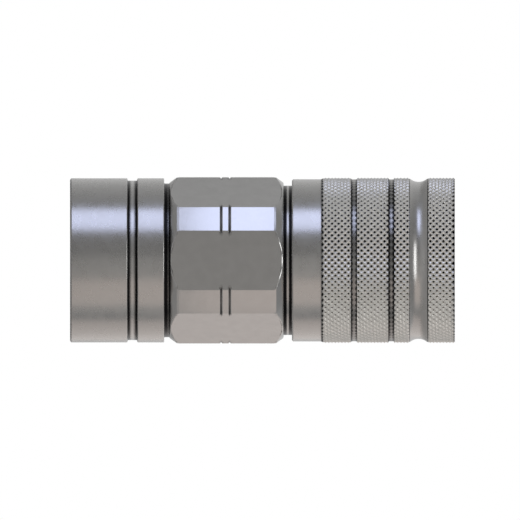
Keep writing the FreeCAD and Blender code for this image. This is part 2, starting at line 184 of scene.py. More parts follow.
class CouplerAdapterSizes(PropertyGroup):
    """Sizes of the port, hexagon and port thread."""

    port_radius: length("Port radius", "Outside of the port cylinder", 18.8)
    port_edge: length("Port edge", "Broken edge at the port face", 0.3)
    ring_groove_low: length("Ring groove start", "Start of the ring groove", 13.1)
    ring_groove_high: length("Ring groove end", "End of the ring groove", 15.45)
    ring_groove_floor: length("Ring groove floor", "Radius at the floor of the ring groove", 18.26)
    ring_groove_slope: length("Ring groove slope", "Length of each sloping wall", 0.12)
    band_high: length("Band end", "End of the plain band", 21.55)
    relief_radius: length("Relief radius", "Radius of the narrow relief below the hexagon", 17.6)
    hexagon_low: length("Hexagon start", "Start of the hexagon", 22.75)
    hexagon_chamfer: length("Hexagon chamfer", "Length of the chamfer at both ends", 1.66)
    chamfer_radius: length("Chamfer radius", "Radius where both chamfers start", 17.75)
    crown_radius: length("Crown radius", "Radius where a chamfer meets its crown", 19.16)
    crown_length: length("Crown length", "Length of the soft crown before a corner", 0.6)
    corner_crown: share("Corner crown", "How round a corner is, from flat to turned", 0.25)
    corner_radius: length("Corner radius", "Radius of the round bar left at the corners", 19.25)
    across_flats: length("Across flats", "Distance between two flats", 36.0)
    mark_first: length("First mark", "Height of the first V groove", 34.6)
    mark_second: length("Second mark", "Height of the second V groove", 36.55)
    mark_width: length("Mark width", "Width of a V groove", 0.5)
    mark_depth: length("Mark depth", "Depth of a V groove", 0.4)
    socket_radius: length("Socket radius", "Counterbore that takes the body", 15.03)
    socket_low: length("Socket floor", "Height of the counterbore's floor", 34.0)
    guide_radius: length("Guide radius", "Bore that takes the valve guide", 12.55)
    guide_low: length("Guide floor", "Height of the guide bore's floor", 24.0)
    flow_radius: length("Flow radius", "Bore between thread and guide", 8.8)
    thread_low: length("Thread start", "Start of the port thread", 1.2)
    thread_high: length("Thread end", "End of the port thread", 16.0)
    thread_core: length("Thread core", "Radius at the tips of the port thread", 9.32)
    thread_depth: length("Thread depth", "Depth of the port thread", 1.1)
    thread_pitch: length("Thread pitch", "Pitch of the port thread", 1.814)
    thread_half: share("Thread half width", "Half the width of the thread's V, in pitches", 0.45)
    edge: length("Edge", "Rounding of the outer edges", 0.25)
    flat_edge: length("Flat edge", "Rounding between a flat and the chamfers", 0.2)


class CouplerSleeveSizes(PropertyGroup):
    """Sizes of the locking sleeve and its diamond knurl."""

    band_radius: length("Band radius", "Radius of the smooth band", 18.58)
    band_high: length("Band end", "End of the smooth band", 57.45)
    knurl_radius: length("Knurl radius", "Radius over the knurl's tips", 18.92)
    knurl_low: length("Knurl start", "Start of the knurl", 57.95)
    first_groove_low: length("First groove start", "Start of the first grip groove", 64.35)
    first_groove_high: length("First groove end", "End of the first grip groove", 65.72)
    second_groove_low: length("Second groove start", "Start of the second grip groove", 72.9)
    second_groove_high: length("Second groove end", "End of the second grip groove", 74.25)
    groove_radius: length("Groove floor", "Radius at the floor of the grip grooves", 18.55)
    groove_slope: length("Groove slope", "Length of each sloping wall", 0.12)
    groove_break: length("Groove edge", "Broken edge of a grip groove on the port side", 0.05)
    finger_low: length("Finger groove start", "Start of the finger groove", 77.6)
    finger_high: length("Finger groove end", "End of the finger groove", 82.0)
    finger_round: length("Finger groove round", "Radius of the finger groove's section", 3.05)
    skirt_radius: length("Skirt radius", "Bore over the body's collar", 17.18)
    skirt_high: length("Skirt end", "Height of the shoulder that the washer pushes", 69.0)
    land_radius: length("Land radius", "Bore that slides on the body", 15.47)
    land_high: length("Land end", "Start of the ball ramp", 77.65)
    recess_radius: length("Recess radius", "Bore in front of the ball ramp", 16.46)
    recess_low: length("Recess start", "End of the ball ramp", 82.6)
    edge: length("Edge", "Broken edge at both ends", 0.3)
    diamond_height: length("Diamond height", "From diamond to diamond along the axis", 1.5)
    diamonds_round: count("Diamonds", "Diamonds in one row round the sleeve", 80)
    diamond_depth: length("Diamond depth", "Depth from the diamonds' tips to the pits", 0.5)
    pit_depth: length("Pit depth", "Further depth of the pit between diamonds", 0.7)
    pit_start: share("Pit start", "Where the pit starts between a tip and a crossing", 0.48)
    pit_lean: length("Pit lean", "How far a pit's bottom is dragged aside", 0.18)


class CouplerSpringSizes(PropertyGroup):
    """Turns and wire of the three springs."""

    sleeve_turns: setting("Sleeve spring turns", "Turns of the sleeve's spring", 4.0, min=0.0)
    sleeve_wire: length("Sleeve spring wire", "Thickness of the wire", 1.5)
    dust_turns: setting("Dust ring spring turns", "Turns of the dust ring's spring", 4.5, min=0.0)
    dust_wire: length("Dust ring spring wire", "Thickness of the wire", 1.2)
    valve_turns: setting("Valve spring turns", "Turns of the valve's spring", 5.5, min=0.0)
    valve_wire: length("Valve spring wire", "Thickness of the wire", 1.4)


class CouplerFinishes(PropertyGroup):
    """Colours and roughness of the finishes."""

    plating: colour("Plating", "Satin plated steel", (0.6, 0.595, 0.585))
    plating_rough: share("Plating roughness", "Roughness of the plated steel", 0.28)
    milled: colour("Hexagon", "Plated steel of the hexagon", (0.6, 0.597, 0.59))
    milled_rough: share("Hexagon roughness", "Roughness of the hexagon", 0.19)
    knurl: colour("Knurl", "Matt plating on the knurl", (0.97, 0.96, 0.93))
    knurl_rough: share("Knurl roughness", "Roughness of the knurl", 0.42)
    # painted shade: a near-black colour mixed into the knurl's pits, where their walls are close
    pit: colour("Knurl pits", "Oily plating in the pits", (0.008, 0.008, 0.008))
    pit_rough: share("Pit roughness", "Roughness of the oily pits", 0.3)
    # painted shade: a near-black colour mixed into the metal where walls are close, in corners and
    # grooves
    painted_shade: colour("Painted shade colour", "Oily shade in corners and grooves", (0.012, 0.012, 0.013))
    turned: colour("Turned steel", "Bare turned steel", (0.56, 0.56, 0.57))
    turned_rough: share("Turned roughness", "Roughness of the bare steel", 0.22)
    spring: colour("Spring steel", "Oiled spring wire", (0.3, 0.3, 0.32))
    spring_rough: share("Spring roughness", "Roughness of the spring wire", 0.3)
    ball: colour("Ball steel", "Polished bearing steel", (0.68, 0.68, 0.7))
    ball_rough: share("Ball roughness", "Roughness of the balls", 0.07)
    rubber: colour("Rubber", "Black sealing rubber", (0.018, 0.018, 0.019))
    rubber_rough: share("Rubber roughness", "Roughness of the seals", 0.5)
    plastic: colour("Plastic", "White backing plastic", (0.75, 0.73, 0.68))
    plastic_rough: share("Plastic roughness", "Roughness of the backing rings", 0.4)


class CouplerStage(PropertyGroup):
    """Studio and camera."""

    picture_width: length("Picture width", "Width of the picture at the coupler", 119.08)
    picture_height: length("Picture centre", "Height at the middle of the picture", 43.49)
    picture_shift: length("Picture shift", "How far its middle is off axis", -0.08, lowest=-50.0)
    camera_distance: length("Camera distance", "Distance from the axis", 500.0)
    floor: colour("Floor", "Pale floor", (0.7, 0.7, 0.69))
    floor_rough: share("Floor roughness", "Roughness of the floor", 0.07)
    floor_reach: length("Floor reach", "Half the width of the floor", 800.0)
    backdrop: colour("Backdrop", "White backdrop", (1.0, 1.0, 1.0))
    backdrop_reach: length("Backdrop reach", "Half the width of the backdrop", 80.0)
    backdrop_distance: length("Backdrop distance", "Distance behind the coupler", 500.0)
    room_front: colour("Room front", "Grey behind the camera", (0.19, 0.187, 0.183))
    room_side: colour("Room side", "Grey beside the coupler", (0.28, 0.28, 0.28))
    room_side_depth: share("Room side depth", "Where it is, from front to back", 0.5)
    room_far: colour("Room far", "Grey beside the backdrop", (0.45, 0.45, 0.45))
    room_far_depth: share("Room far depth", "Where it is, from front to back", 0.78)
    room_back: colour("Room back", "Grey behind the coupler", (0.7, 0.7, 0.7))
    light_distance: length("Light distance", "Distance of the soft lights", 450.0)
    key_turn: angle("Key turn", "Cool light: towards the top of the picture", 59)
    key_rise: angle("Key rise", "Cool light: along the axis", 3)
    key_size: lamp_size("Key size", "Cool light: width and height", 270.0, 150.0)
    key_tint: colour("Key colour", "Cool light", (0.65, 0.715, 1.0))
    key_power: power("Key power", "Cool light", 0.21)
    fill_turn: angle("Fill turn", "Warm light: towards the top of the picture", -46)
    fill_rise: angle("Fill rise", "Warm light: along the axis", 14)
    fill_size: lamp_size("Fill size", "Warm light: width and height", 340.0, 350.0)
    fill_tint: colour("Fill colour", "Warm light", (1.0, 0.79, 0.69))
    fill_power: power("Fill power", "Warm light", 0.095)
    wash_turn: angle("Wash turn", "Wide light: towards the top of the picture", -37)
    wash_rise: angle("Wash rise", "Wide light: along the axis", 0)
    wash_size: lamp_size("Wash size", "Wide light: width and height", 780.0, 600.0)
    wash_tint: colour("Wash colour", "Wide and slightly warm light", (1.0, 0.95, 0.9))
    wash_power: power("Wash power", "Wide light", 0.2)
    rim_turn: angle("Rim turn", "Rear light: towards the top of the picture", -121)
    rim_rise: angle("Rim rise", "Rear light: along the axis", 0)
    rim_size: lamp_size("Rim size", "Rear light: width and height", 500.0, 600.0)
    rim_tint: colour("Rim colour", "Warm rear light", (1.0, 0.79, 0.69))
    rim_power: power("Rim power", "Rear light", 0.24)
    strip_turn: angle("Strip turn", "Strip light: towards the top of the picture", 0)
    strip_rise: angle("Strip rise", "Strip light: along the axis", 33)
    strip_size: lamp_size("Strip size", "Strip light: width and height", 350.0, 140.0)
    strip_tint: colour("Strip colour", "White strip light", (1.0, 1.0, 1.0))
    strip_power: power("Strip power", "Strip light", 0.31)


class CouplerSettings(PropertyGroup):
    """Everything that a user would change."""

    adapter: group(CouplerAdapterSizes, "Adapter", "Port and hexagon")
    sleeve: group(CouplerSleeveSizes, "Sleeve", "Locking sleeve")
    springs: group(CouplerSpringSizes, "Springs", "Turns and wire")
    finish: group(CouplerFinishes, "Finishes", "Colours and roughness")
    stage: group(CouplerStage, "Stage", "Studio and camera")


def eased(corners, radius):
    """The closed outline with each corner rounded a little, as a tool leaves it."""
    rounded = []
    for index, corner in enumerate(corners):
        here = Vector(corner)
        back = Vector(corners[index - 1]) - here
        ahead = Vector(corners[(index + 1) % len(corners)]) - here
        turn = math.pi - back.angle(ahead)
        if turn < SHARP_ANGLE:
            rounded.append(here)
            continue
        reach = min(radius * math.tan(turn / 2), EASE_LIMIT * min(back.length, ahead.length))
        start = here + reach * back.normalized()
        end = here + reach * ahead.normalized()
        rounded.append(start + EASE_LEAD * reach * back.normalized())
        for step in range(EASE_STEPS + 1):
            along = step / EASE_STEPS
            bend = here * 2 * along * (1 - along)
            rounded.append(start * (1 - along) ** 2 + bend + end * along**2)
        rounded.append(end + EASE_LEAD * reach * ahead.normalized())
    return rounded


def divided(outline, longest, low, high):
    """The closed outline with more points, so that all stretches between two heights are short."""
    points = []
    for index, point in enumerate(outline):
        here = Vector(point)
        ahead = Vector(outline[(index + 1) % len(outline)])
        points.append(here)
        inside = low <= min(here.y, ahead.y) and max(here.y, ahead.y) <= high
        pieces = math.ceil((ahead - here).length / longest) if inside else 1
        for piece in range(1, pieces):
            points.append(here.lerp(ahead, piece / pieces))
    return points


def arc(start, end, radius, steps):
    """Points between two points of an outline, on an arc that dips towards the axis."""
    start = Vector(start)
    end = Vector(end)
    half = (end - start).length / 2
    centre = (start + end) / 2 + Vector((math.sqrt(radius**2 - half**2), 0))
    opening = math.asin(half / radius)
    angles = [-opening + 2 * opening * step / steps for step in range(1, steps)]
    return [centre + radius * Vector((-math.cos(turn), math.sin(turn))) for turn in angles]


def around(radius, turn, height):
    """The point at that radius, angle and height."""
    return (radius * math.cos(turn), radius * math.sin(turn), height)


def even_turns(columns):
    """Angles of evenly spread columns."""
    return [FULL_TURN * column / columns for column in range(columns)]


def whole(low, left, corners):
    """The face over four corners, left as it is."""
    return [corners]


def skin(name, rings, faces_of=whole, closed=True):
    """A mesh object over rings of points: the last joins the first, or both ends are capped."""
    wide = len(rings[0])
    last = len(rings) - 1
    caps = [tuple(range(wide)), tuple(last * wide + left for left in reversed(range(wide)))]
    faces = [] if closed else caps
    for low in range(len(rings) if closed else last):
        high = (low + 1) % len(rings)
        for left in range(wide):
            right = (left + 1) % wide
            lower = (low * wide + left, low * wide + right)
            upper = (high * wide + right, high * wide + left)
            faces.extend(faces_of(low, left, lower + upper))
    mesh = bpy.data.meshes.new(name)
    mesh.from_pydata([point for ring in rings for point in ring], [], faces)
    return finished_object(name, mesh)


def finished_object(name, mesh):
    """The mesh as an object, with merged points, outward faces and smooth shading."""
    work = bmesh.new()
    work.from_mesh(mesh)
    bmesh.ops.remove_doubles(work, verts=work.verts, dist=MERGE_DISTANCE)
    bmesh.ops.dissolve_degenerate(work, edges=work.edges, dist=MERGE_DISTANCE)
    bmesh.ops.recalc_face_normals(work, faces=work.faces)
    work.to_mesh(mesh)
    work.free()
    mesh.shade_smooth()
    mesh.set_sharp_from_angle(angle=SHARP_ANGLE)
    piece = bpy.data.objects.new(name, mesh)
    bpy.context.scene.collection.objects.link(piece)
    return piece


def stand_for(piece, node, *finishes):
    """The piece takes a CAD node's place and its body, and gets its finishes."""
    for finish in finishes:
        piece.data.materials.append(finish)
    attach(piece, NODES[node]["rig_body"])
    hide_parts(node)


def paint(finish, *nodes):
    """CAD nodes whose shape stays get a finish."""
    for node in nodes:
        NODES[node].material_slots[0].material = finish


def about(value, spread):
    """The two values a share below and above a value."""
    return value * (1 - spread), value * (1 + spread)


class Finish:
    """A material under way: its nodes, and short ways to add one."""

    def __init__(self, name, metal=0.0):
        self.material = bpy.data.materials.new(name)
        self.material.use_nodes = True
        self.tree = self.material.node_tree
        self.shader = self.tree.nodes["Principled BSDF"]
        self.shader.inputs["Metallic"].default_value = metal

    def add(self, kind, **settings):
        """A new node with some of its settings."""
        node = self.tree.nodes.new(kind)
        for key, value in settings.items():
            setattr(node, key, value)
        return node

    def join(self, source, target):
        """A link from an output to an input."""
        self.tree.links.new(source, target)

    def place(self):
        """Where the surface is on the coupler."""
        return self.add("ShaderNodeTexCoord").outputs["Object"]

    def lathe_place(self):
        """Distance from the axis and height, so that marks on a surface run round it."""
        apart = self.add("ShaderNodeSeparateXYZ")
        self.join(self.place(), apart.inputs["Vector"])
        flat = self.add("ShaderNodeCombineXYZ")
        for side in ("X", "Y"):
            self.join(apart.outputs[side], flat.inputs[side])
        radius = self.add("ShaderNodeVectorMath", operation="LENGTH")
        self.join(flat.outputs["Vector"], radius.inputs[0])
        both = self.add("ShaderNodeCombineXYZ")
        self.join(radius.outputs["Value"], both.inputs["X"])
        self.join(apart.outputs["Z"], both.inputs["Y"])
        return both.outputs["Vector"]

    def noise(self, place, size):
        """Soft random marks of a size in metres."""
        node = self.add("ShaderNodeTexNoise")
        self.join(place, node.inputs["Vector"])
        node.inputs["Scale"].default_value = 1.0 / size
        node.inputs["Detail"].default_value = NOISE_DETAIL
        return node.outputs["Fac"]

    def open_share(self, reach, dark, clear, local):
        """0 where other surfaces are close, as in the corner of a groove, and 1 in the open; it
        sets where shade is painted.
        """
        near = self.add("ShaderNodeAmbientOcclusion", samples=SHADE_SAMPLES, only_local=local)
        near.inputs["Distance"].default_value = reach
        share_open = self.add("ShaderNodeMapRange", interpolation_type="SMOOTHSTEP")
        share_open.inputs["From Min"].default_value = dark
        share_open.inputs["From Max"].default_value = clear
        self.join(near.outputs["AO"], share_open.inputs["Value"])
        return share_open.outputs["Result"]

    def shade(self, tint, painted_shade, share_open):
        """The colour with painted shade where the surface isn't open."""
        mix = self.add("ShaderNodeMix", data_type="RGBA")
        mix.inputs["A"].default_value = [*painted_shade, 1.0]
        self.join(share_open, mix.inputs["Factor"])
        self.join(tint, mix.inputs["B"])
        return mix.outputs["Result"]

    def tint(self, marks, base, spread):
        """Colour that wanders a little with the marks."""
        ramp = self.add("ShaderNodeValToRGB")
        ends = zip(ramp.color_ramp.elements, NOISE_RANGE, about(1.0, spread))
        for element, position, gain in ends:
            element.position = position
            element.color = [min(part * gain, 1.0) for part in base] + [1.0]
        self.join(marks, ramp.inputs["Fac"])
        return ramp.outputs["Color"]

    def cover(self, tint):
        """The colour goes on the shader."""
        self.join(tint, self.shader.inputs["Base Color"])

    def roughen(self, marks, low, high):
        """Roughness that follows the marks from one value to another."""
        follow = self.add("ShaderNodeMapRange")
        follow.inputs["To Min"].default_value = low
        follow.inputs["To Max"].default_value = high
        self.join(marks, follow.inputs["Value"])
        self.join(follow.outputs["Result"], self.shader.inputs["Roughness"])

    def relief(self, marks, height, strength):
        """Fine relief from the marks."""
        bump = self.add("ShaderNodeBump")
        bump.inputs["Distance"].default_value = height
        bump.inputs["Strength"].default_value = strength
        self.join(marks, bump.inputs["Height"])
        self.join(bump.outputs["Normal"], self.shader.inputs["Normal"])


def turned_finish(looks, name, base, rough, shade, strength):
    """Metal off the lathe: lines that run round the axis, faint clouds and painted shade in
    corners.
    """
    finish = Finish(name, metal=1.0)
    lines = finish.noise(finish.lathe_place(), size=0.12 * MM)
    clouds = finish.noise(finish.place(), size=2.5 * MM)
    tint = finish.tint(clouds, base, spread=0.03)
    # painted shade: the colour goes near-black where walls are close
    finish.cover(finish.shade(tint, looks.painted_shade, finish.open_share(**shade)))
    finish.roughen(clouds, *about(rough, spread=0.2))
    finish.relief(lines, height=0.01 * MM, strength=strength)
    return finish.material


def wire_finish(name, base, rough):
    """Drawn or polished metal with faint clouds."""
    finish = Finish(name, metal=1.0)
    clouds = finish.noise(finish.place(), size=1.2 * MM)
    finish.cover(finish.tint(clouds, base, spread=0.12))
    finish.roughen(clouds, *about(rough, spread=0.25))
    grain = finish.noise(finish.place(), size=0.15 * MM)
    finish.relief(grain, height=0.004 * MM, strength=0.3)
    return finish.material


def moulded_finish(name, base, rough):
    """Moulded rubber or plastic with a fine grain."""
    finish = Finish(name)
    grain = finish.noise(finish.place(), size=0.3 * MM)
    finish.cover(finish.tint(grain, base, spread=0.2))
    finish.roughen(grain, *about(rough, spread=0.2))
    finish.relief(grain, height=0.01 * MM, strength=0.4)
    return finish.material


def plated_steel(looks, name="plated_steel_satin", dark=0.87, local=True):
    """Satin plating over turned steel."""
    # painted shade in corners and grooves, wider as dark rises
    shade = dict(reach=1.0 * MM, dark=dark, clear=1.0, local=local)
    tone = (looks.plating, looks.plating_rough)
    return turned_finish(looks, name, *tone, shade, strength=0.05)


def hexagon_plating(looks):
    """Smoother plating of the hexagon."""
    # painted shade in the V marks and the relief of the hexagon
    shade = dict(reach=0.5 * MM, dark=0.45, clear=0.9, local=True)
    tone = (looks.milled, looks.milled_rough)
    return turned_finish(looks, "plated_steel_hexagon", *tone, shade, strength=0.05)


def turned_steel(looks):
    """Bare turned steel."""
    # painted shade in corners and grooves of the bare parts
    shade = dict(reach=0.6 * MM, dark=0.5, clear=0.9, local=True)
    tone = (looks.turned, looks.turned_rough)
    return turned_finish(looks, "turned_steel_bare", *tone, shade, strength=0.2)


def knurl_plating(looks):
    """Matt plating over the knurl, with painted shade in the smooth pits."""
    finish = Finish("plated_knurl_matt", metal=1.0)
    clouds = finish.noise(finish.place(), size=2.5 * MM)
    share_open = finish.open_share(reach=0.8 * MM, dark=0.22, clear=0.45, local=True)
    tint = finish.tint(clouds, looks.knurl, spread=0.03)
    # painted shade: the pits go near-black where their walls are close
    finish.cover(finish.shade(tint, looks.pit, share_open))
    finish.roughen(share_open, looks.pit_rough, looks.knurl_rough)
    grain = finish.noise(finish.place(), size=0.2 * MM)
    finish.relief(grain, height=0.01 * MM, strength=0.1)
    return finish.material


def adapter_outline(sizes):
    """Closed outline of the adapter without its flats and thread, as radius and height."""
    high = high_of("rear_adapter")
    chamfer_low = sizes.hexagon_low + sizes.hexagon_chamfer
    chamfer_high = high - sizes.hexagon_chamfer
    corner = sizes.corner_radius
    mark_half = sizes.mark_width / 2
    corners = [
        (sizes.thread_core + sizes.thread_low, 0.0),
        (sizes.port_radius - sizes.port_edge, 0.0),
        (sizes.port_radius, sizes.port_edge),
        (sizes.port_radius, sizes.ring_groove_low),
        (sizes.ring_groove_floor, sizes.ring_groove_low + sizes.ring_groove_slope),
        (sizes.ring_groove_floor, sizes.ring_groove_high - sizes.ring_groove_slope),
        (sizes.port_radius, sizes.ring_groove_high),
        (sizes.port_radius, sizes.band_high),
        (sizes.relief_radius, sizes.band_high),
        (sizes.relief_radius, sizes.hexagon_low),
        (sizes.chamfer_radius, sizes.hexagon_low),
        (sizes.crown_radius, chamfer_low),
        (corner, chamfer_low + sizes.crown_length),
    ]
    for mark in (sizes.mark_first, sizes.mark_second):
        deepest = (corner - sizes.mark_depth, mark)
        corners += [(corner, mark - mark_half), deepest, (corner, mark + mark_half)]
    corners += [
        (corner, chamfer_high - sizes.crown_length),
        (sizes.crown_radius, chamfer_high),
        (sizes.chamfer_radius, high),
        (sizes.socket_radius + sizes.port_edge, high),
        (sizes.socket_radius, high - sizes.port_edge),
        (sizes.socket_radius, sizes.socket_low),
        (sizes.guide_radius, sizes.socket_low),
        (sizes.guide_radius, sizes.guide_low),
        (sizes.flow_radius, sizes.guide_low),
        (sizes.flow_radius, sizes.thread_high),
        (sizes.thread_core, sizes.thread_high),
        (sizes.thread_core, sizes.thread_low),
    ]
    return corners


def flat_half_angle(sizes, radius, height):
    """Half the angle that a flat takes at that radius and height, or 0 where there is none."""
    apothem = sizes.across_flats / 2
    beside_flats = sizes.hexagon_low <= height <= high_of("rear_adapter")
    if not beside_flats or radius <= max(apothem, sizes.socket_radius):
        return 0.0
    return math.acos(apothem / radius)


def corner_reach(sizes, radius, turn):
    """Radius at an angle from the middle of a corner, which is milled nearly flat."""
    apothem = sizes.across_flats / 2
    edge = SECTOR / 2 - math.acos(apothem / sizes.corner_radius)
    flatness = 1 - sizes.corner_crown
    milled = sizes.corner_radius * flatness * (1 - math.cos(edge) / math.cos(turn))
    return min(radius, radius - milled * (radius - apothem) / (sizes.corner_radius - apothem))


def flat_reach(sizes, radius, turn):
    """Radius at an angle from the middle of a flat."""
    return sizes.across_flats / 2 / math.cos(turn)


def hexagon_ring(sizes, radius, height):
    """A ring of the adapter: round, or with six flats where the bar reaches past them."""
    half = flat_half_angle(sizes, radius, height)
    rest = SECTOR / 2 - half
    stretches = (
        (-SECTOR / 2, 0.0, rest, CORNER_COLUMNS, corner_reach),
        (0.0, -half, half, FLAT_COLUMNS, flat_reach),
        (SECTOR / 2, -rest, 0.0, CORNER_COLUMNS, corner_reach),
    )
    ring = []
    for side in range(HEXAGON_SIDES):
        facing = side * SECTOR - FULL_TURN / 4
        for middle, start, end, columns, reach_at in stretches:
            for column in range(columns):
                turn = start + (end - start) * column / columns
                reach = reach_at(sizes, radius, turn) if half else radius
                ring.append(around(reach, facing + middle + turn, height))
    return ring


def thread_radius(sizes, turn, height):
    """Radius of the port thread, a V groove that climbs one pitch in a turn."""
    climb = height / sizes.thread_pitch - turn / FULL_TURN
    away = abs(climb - round(climb))
    run_out = min(1.0, (sizes.thread_high - height) / sizes.thread_pitch)
    cut = max(0.0, 1 - away / sizes.thread_half)
    return sizes.thread_core + sizes.thread_depth * run_out * cut


def threaded(sizes, ring):
    """A ring of the port's bore with the thread cut into it."""
    cut = []
    for across, up, height in ring:
        turn = math.atan2(up, across)
        radius = max(math.hypot(across, up), thread_radius(sizes, turn, height))
        cut.append(around(radius, turn, height))
    return cut


def adapter_rings(sizes):
    """Rings of the adapter, close together where chamfers cut the flats and in the thread."""
    high = high_of("rear_adapter")
    crown = sizes.hexagon_chamfer + sizes.crown_length
    thread_root = sizes.thread_core + sizes.thread_depth
    outline = eased(adapter_outline(sizes), sizes.edge)
    for start, end in (
        (sizes.hexagon_low, sizes.hexagon_low + crown),
        (high - crown, high),
        (0.0, sizes.thread_high),
    ):
        outline = divided(outline, FINE_STEP, start, end)
    rings = []
    for radius, height in outline:
        ring = hexagon_ring(sizes, radius, height)
        in_thread = radius < thread_root and 0.0 < height < sizes.thread_high
        rings.append(threaded(sizes, ring) if in_thread else ring)
    return rings


def is_flat(face):
    """Whether a face belongs to a flat of the hexagon."""
    side = (math.atan2(face.normal.y, face.normal.x) + FULL_TURN / 4) / SECTOR
    return abs(face.normal.z) < UPRIGHT_SLOPE and abs(side - round(side)) < FLAT_TURN


def ends_flat(edge):
    """Whether an edge lies between a flat of the hexagon and a chamfer."""
    if edge.calc_face_angle(0.0) <= SHARP_ANGLE:
        return False
    low, high = sorted(abs(face.normal.z) for face in edge.link_faces)
    if low >= UPRIGHT_SLOPE or not CHAMFER_SLOPES[0] < high < CHAMFER_SLOPES[1]:
        return False
    return any(is_flat(face) for face in edge.link_faces)


def soften_flats(piece, width):
    """Round the edges between the flats and the chamfers of the hexagon."""
    work = bmesh.new()
    work.from_mesh(piece.data)
    edges = [edge for edge in work.edges if ends_flat(edge)]
    bmesh.ops.bevel(work, geom=edges, offset=width, segments=2, profile=0.5, affect="EDGES")
    work.to_mesh(piece.data)
    work.free()
    piece.data.set_sharp_from_angle(angle=SHARP_ANGLE)


def on_hexagon(sizes, place):
    """Whether a place on the adapter belongs to the outside of its hexagon."""
    outside = place.xy.length > sizes.socket_radius + sizes.hexagon_chamfer
    return outside and place.z > sizes.hexagon_low


class COUPLER_OT_rear_adapter(Operator):
    """Build the adapter with its hexagon, marks and port thread"""

    bl_idname = "coupler.rear_adapter"
    bl_label = "Rear adapter"

    def execute(self, context):
        settings = context.scene.coupler
        sizes = settings.adapter
        looks = settings.finish
        piece = skin("rear_adapter_threaded", adapter_rings(sizes))
        soften_flats(piece, sizes.flat_edge)
        stand_for(piece, "rear_adapter", plated_steel(looks), hexagon_plating(looks))
        for face in piece.data.polygons:
            face.material_index = int(on_hexagon(sizes, face.center))
        return {"FINISHED"}


def knurl_bands(sizes):
    """Where the four knurled bands start and end."""
    return (
        (sizes.knurl_low, sizes.first_groove_low - sizes.groove_break),
        (sizes.first_groove_high, sizes.second_groove_low - sizes.groove_break),
        (sizes.second_groove_high, sizes.finger_low),
        (sizes.finger_high, high_of("locking_sleeve") - sizes.edge),
    )


def knurl_rows(sizes, low, high):
    """Rows of one knurled band, on the knurl's own grid."""
    step = sizes.diamond_height / KNURL_STEPS
    first = math.floor(low / step) + 1
    last = math.ceil(high / step) - 1
    heights = [low] + [step * index for index in range(first, last + 1)] + [high]
    return [(sizes.knurl_radius, height, True) for height in heights]


def plain_rows(*places):
    """Rows without a knurl, from their radius and height."""
    return [(radius, height, False) for radius, height in places]


def groove_rows(sizes, low, high):
    """Rows of the floor of one grip groove."""
    return plain_rows(
        (sizes.groove_radius, low + sizes.groove_slope),
        (sizes.groove_radius, high - sizes.groove_slope),
    )


def finger_rows(sizes):
    """Rows of the round finger groove."""
    rim = sizes.knurl_radius - sizes.diamond_depth / 2
    start = (sizes.knurl_radius, sizes.finger_low)
    end = (sizes.knurl_radius, sizes.finger_high)
    return plain_rows(
        (rim, sizes.finger_low + sizes.groove_slope),
        *arc(start, end, sizes.finger_round, FINGER_STEPS),
        (rim, sizes.finger_high - sizes.groove_slope),
    )


def sleeve_rows(sizes):
    """Rows of the sleeve's skin as radius, height and whether the knurl is cut there."""
    low, high = [corner.z for corner in BOXES["locking_sleeve"]]
    edge = sizes.edge
    first, second, third, fourth = [knurl_rows(sizes, *band) for band in knurl_bands(sizes)]
    tail = plain_rows(
        (sizes.skirt_radius + edge, low),
        (sizes.band_radius - edge, low),
        (sizes.band_radius, low + edge),
        (sizes.band_radius, sizes.band_high - sizes.groove_slope),
        (sizes.band_radius, sizes.band_high),
    )
    grip = first + groove_rows(sizes, sizes.first_groove_low, sizes.first_groove_high)
    grip += second + groove_rows(sizes, sizes.second_groove_low, sizes.second_groove_high)
    grip += third + finger_rows(sizes) + fourth
    inside = plain_rows(
        (sizes.knurl_radius - edge, high),
        (sizes.recess_radius + edge, high),
        (sizes.recess_radius, high - edge),
        (sizes.recess_radius, sizes.recess_low),
        (sizes.land_radius, sizes.land_high),
        (sizes.land_radius, sizes.skirt_high),
        (sizes.skirt_radius, sizes.skirt_high),
        (sizes.skirt_radius, low + edge),
    )
    return tail + grip + inside


def knurl_point(sizes, turn, height):
    """A point of the knurl.

    Two crossing sets of grooves leave blunt diamonds, with a leaning pit at each crossing.
    """
    along = height / sizes.diamond_height
    across = sizes.diamonds_round * turn / FULL_TURN
    inwards = [1 - 2 * abs(line - round(line)) for line in (along + across, along - across)]
    in_pit = max(0.0, min(inwards) - sizes.pit_start) / (1 - sizes.pit_start)
    depth = sizes.diamond_depth * sum(inwards) / len(inwards) + sizes.pit_depth * in_pit
    lean = sizes.pit_lean * in_pit / sizes.knurl_radius
    return around(sizes.knurl_radius - depth, turn - lean, height)


def knurled_faces(sizes, heights):
    """How each face of the sleeve is split, so that its diagonal runs along a ridge."""
    half_step = sizes.diamond_height / 2

    def faces_of(low, left, corners):
        high = (low + 1) % len(heights)
        tier = math.floor((heights[low] + heights[high]) / 2 / half_step)
        cell = left // (KNURL_STEPS // 2)
        first, second, third, fourth = corners
        if (tier + cell) % 2 == 1:
            return [(first, second, third), (first, third, fourth)]
        return [(first, second, fourth), (second, third, fourth)]

    return faces_of


def sleeve_finish(sizes, place):
    """Which finish a place on the sleeve has: 0 plain, 1 the knurl's, 2 the grip grooves', with
    darker painted shade.
    """
    if place.xy.length < sizes.knurl_radius - sizes.diamond_depth - sizes.pit_depth:
        return 0
    if any(low < place.z < high for low, high in knurl_bands(sizes)):
        return 1
    return 2 if sizes.band_high < place.z < sizes.finger_low else 0


